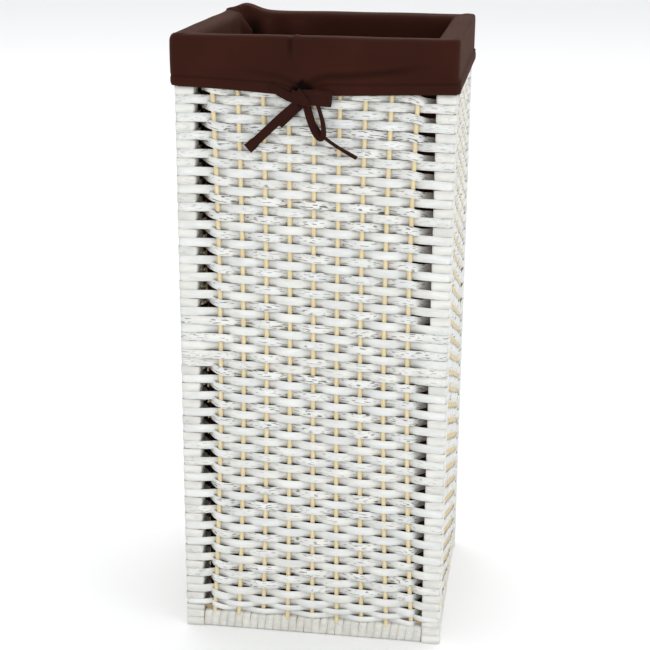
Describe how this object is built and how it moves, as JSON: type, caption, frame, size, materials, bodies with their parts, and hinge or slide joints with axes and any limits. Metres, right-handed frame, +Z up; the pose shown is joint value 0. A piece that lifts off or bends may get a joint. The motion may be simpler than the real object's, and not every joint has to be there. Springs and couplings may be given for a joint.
{
  "type": "laundry basket",
  "caption": "Tall slim woven laundry basket on a square wooden frame, with a lift-out cloth liner that folds over the rim and ties in a bow at the front.",
  "frame": {"origin": "centre of the footprint on the floor", "axes": "+Z up, the bow side faces -Y, +X to the right seen from the front"},
  "size_m": [0.2864, 0.2766, 0.646],
  "materials": {
    "painted_strip": "white paint, worn and crackled",
    "stake_rod": "bare peeled rod, satin",
    "frame_wood": "sawn softwood, matt",
    "base_board": "thin plywood, matt",
    "liner_cloth": "dark brown plain-weave cotton",
    "tie_tape": "dark brown folded and sewn tape"
  },
  "bodies": {
    "basket": {"post_front_left": "frame_wood", "post_front_right": "frame_wood", "post_back_left": "frame_wood", "post_back_right": "frame_wood", "stake_front_1": "stake_rod", "stake_front_2": "stake_rod", "stake_front_3": "stake_rod", "stake_front_4": "stake_rod", "stake_front_5": "stake_rod", "stake_front_6": "stake_rod", "stake_front_7": "stake_rod", "stake_front_8": "stake_rod", "stake_front_9": "stake_rod", "weave_front": "painted_strip", "top_rail_front": "frame_wood", "bottom_rail_front": "frame_wood", "stake_back_1": "stake_rod", "stake_back_2": "stake_rod", "stake_back_3": "stake_rod", "stake_back_4": "stake_rod", "stake_back_5": "stake_rod", "stake_back_6": "stake_rod", "stake_back_7": "stake_rod", "stake_back_8": "stake_rod", "stake_back_9": "stake_rod", "weave_back": "painted_strip", "top_rail_back": "frame_wood", "bottom_rail_back": "frame_wood", "stake_left_1": "stake_rod", "stake_left_2": "stake_rod", "stake_left_3": "stake_rod", "stake_left_4": "stake_rod", "stake_left_5": "stake_rod", "stake_left_6": "stake_rod", "stake_left_7": "stake_rod", "stake_left_8": "stake_rod", "stake_left_9": "stake_rod", "weave_left": "painted_strip", "top_rail_left": "frame_wood", "bottom_rail_left": "frame_wood", "stake_right_1": "stake_rod", "stake_right_2": "stake_rod", "stake_right_3": "stake_rod", "stake_right_4": "stake_rod", "stake_right_5": "stake_rod", "stake_right_6": "stake_rod", "stake_right_7": "stake_rod", "stake_right_8": "stake_rod", "stake_right_9": "stake_rod", "weave_right": "painted_strip", "top_rail_right": "frame_wood", "bottom_rail_right": "frame_wood", "frame_binding": "painted_strip", "base_panel": "base_board", "mid_rails": "frame_wood"},
    "liner": {"liner": "liner_cloth", "drawstring": "tie_tape", "bow": "tie_tape", "tie_tails": "tie_tape"}
  },
  "joints": [
    {"name": "liner_lift", "type": "slide", "parent": "basket", "child": "liner", "axis": [0, 0, 1], "range_m": [0, 0.66]}
  ]
}
